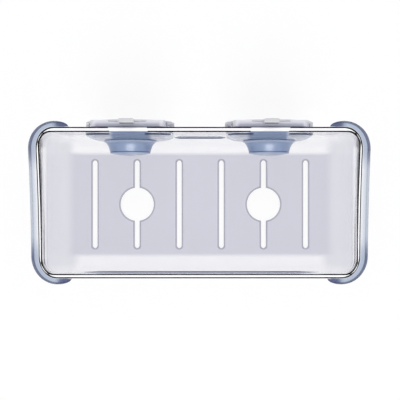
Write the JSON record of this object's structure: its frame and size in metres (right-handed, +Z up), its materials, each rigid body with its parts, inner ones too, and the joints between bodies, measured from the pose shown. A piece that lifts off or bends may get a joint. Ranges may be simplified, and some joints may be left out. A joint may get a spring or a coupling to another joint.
{
  "type": "suction shower basket",
  "caption": "Clear rectangular shower basket with a slotted drain floor, swept rim and end lips, held to a wall by twist-lock suction mounts.",
  "frame": {"origin": "centre of the flat underside of the basket's floor", "axes": "+X along the basket's length, +Y towards the tiled wall, +Z up"},
  "size_m": [0.2748, 0.1324, 0.1036],
  "materials": {
    "clear_plastic": "clear polished plastic with a faint blue-violet tint",
    "frosted_plastic": "pale translucent plastic",
    "blue_plastic": "clear plastic with a grey-blue tint",
    "soft_vinyl": "soft translucent vinyl",
    "white_plastic": "white moulded plastic",
    "foam": "pale closed-cell foam",
    "steel": "stainless wire and pin"
  },
  "bodies": {
    "basket": {"basket": "clear_plastic", "left_suction_cup": "soft_vinyl", "left_pressure_plate": "frosted_plastic", "left_wall_gasket": "foam", "left_ring_nut": "white_plastic", "left_bell_cover": "frosted_plastic", "left_return_spring": "steel", "right_suction_cup": "soft_vinyl", "right_pressure_plate": "frosted_plastic", "right_wall_gasket": "foam", "right_ring_nut": "white_plastic", "right_bell_cover": "frosted_plastic", "right_return_spring": "steel"},
    "left_knob": {"left_knob": "blue_plastic", "left_knob_cap": "blue_plastic", "left_cam_ring": "white_plastic"},
    "left_post": {"left_cup_post": "white_plastic", "left_cross_pin": "steel"},
    "right_knob": {"right_knob": "blue_plastic", "right_knob_cap": "blue_plastic", "right_cam_ring": "white_plastic"},
    "right_post": {"right_cup_post": "white_plastic", "right_cross_pin": "steel"}
  },
  "joints": [
    {"name": "left_knob_turn", "type": "hinge", "parent": "basket", "child": "left_knob", "pos_m": [-0.057, 0.045, 0.0545], "axis": [0, 1, 0], "range_deg": [0, 90]},
    {"name": "left_post_draw", "type": "slide", "parent": "basket", "child": "left_post", "axis": [0, -1, 0], "range_m": [0, 0.003], "deforming": ["left_suction_cup", "left_return_spring"]},
    {"name": "right_knob_turn", "type": "hinge", "parent": "basket", "child": "right_knob", "pos_m": [0.057, 0.045, 0.0545], "axis": [0, 1, 0], "range_deg": [0, 90]},
    {"name": "right_post_draw", "type": "slide", "parent": "basket", "child": "right_post", "axis": [0, -1, 0], "range_m": [0, 0.003], "deforming": ["right_suction_cup", "right_return_spring"]}
  ],
  "couplings": [
    {"joint": "left_post_draw", "follows": "left_knob_turn", "m_per_rad": 0.0019099},
    {"joint": "right_post_draw", "follows": "right_knob_turn", "m_per_rad": 0.0019099}
  ]
}
